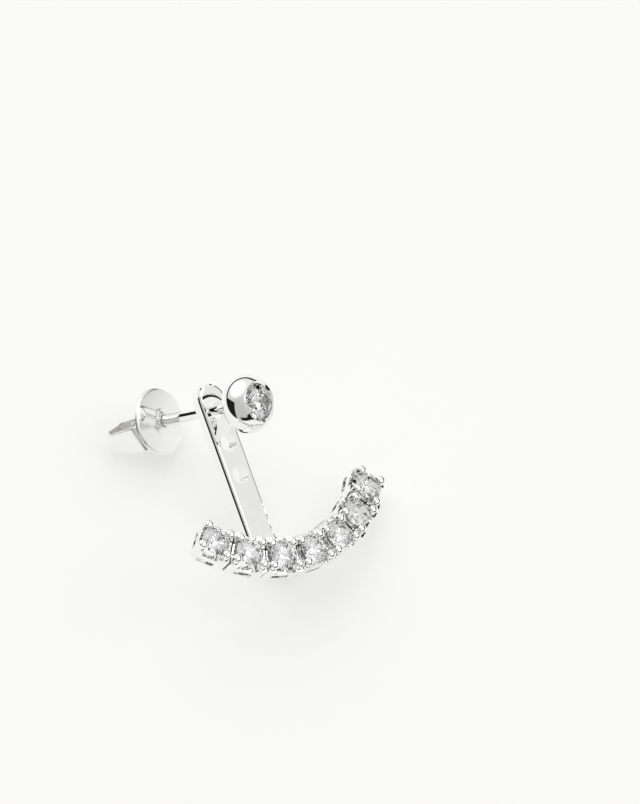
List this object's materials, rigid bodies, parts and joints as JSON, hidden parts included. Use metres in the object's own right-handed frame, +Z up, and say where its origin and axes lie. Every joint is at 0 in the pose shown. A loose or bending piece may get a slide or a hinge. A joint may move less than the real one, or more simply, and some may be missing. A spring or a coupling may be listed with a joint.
{
  "type": "ear jacket earring",
  "caption": "Ear jacket earring: ball stud with a round stone, butterfly clutch, and a pierced bar that carries a curved row of prong-set stones below the lobe.",
  "frame": {"origin": "middle of the part's bounding box, on the surface it lies on", "axes": "+Z is up off the surface; +Y runs from the arc of stones to the clutch; +X runs along the arc toward its end that rests on the surface"},
  "size_m": [0.0179, 0.0218, 0.0108],
  "materials": {
    "silver": "polished",
    "clutch_silver": "satin",
    "stone": "cut and polished"
  },
  "bodies": {
    "jacket": {"jacket_frame": "silver", "jacket_stone_1": "stone", "jacket_stone_2": "stone", "jacket_stone_3": "stone", "jacket_stone_4": "stone", "jacket_stone_5": "stone", "jacket_stone_6": "stone", "jacket_stone_7": "stone"},
    "stud": {"stud_setting": "silver", "stud_stone": "stone"},
    "clutch": {"clutch": "clutch_silver"}
  },
  "joints": [
    {"name": "jacket_swing", "type": "hinge", "parent": "jacket", "child": "stud", "pos_m": [0.00069, 0.00441, 0.00631], "axis": [0.4808, -0.6254, 0.6145], "continuous": true},
    {"name": "clutch_slide", "type": "slide", "parent": "stud", "child": "clutch", "axis": [0.4808, -0.6254, 0.6145], "range_m": [-0.006, 0.0035]}
  ]
}
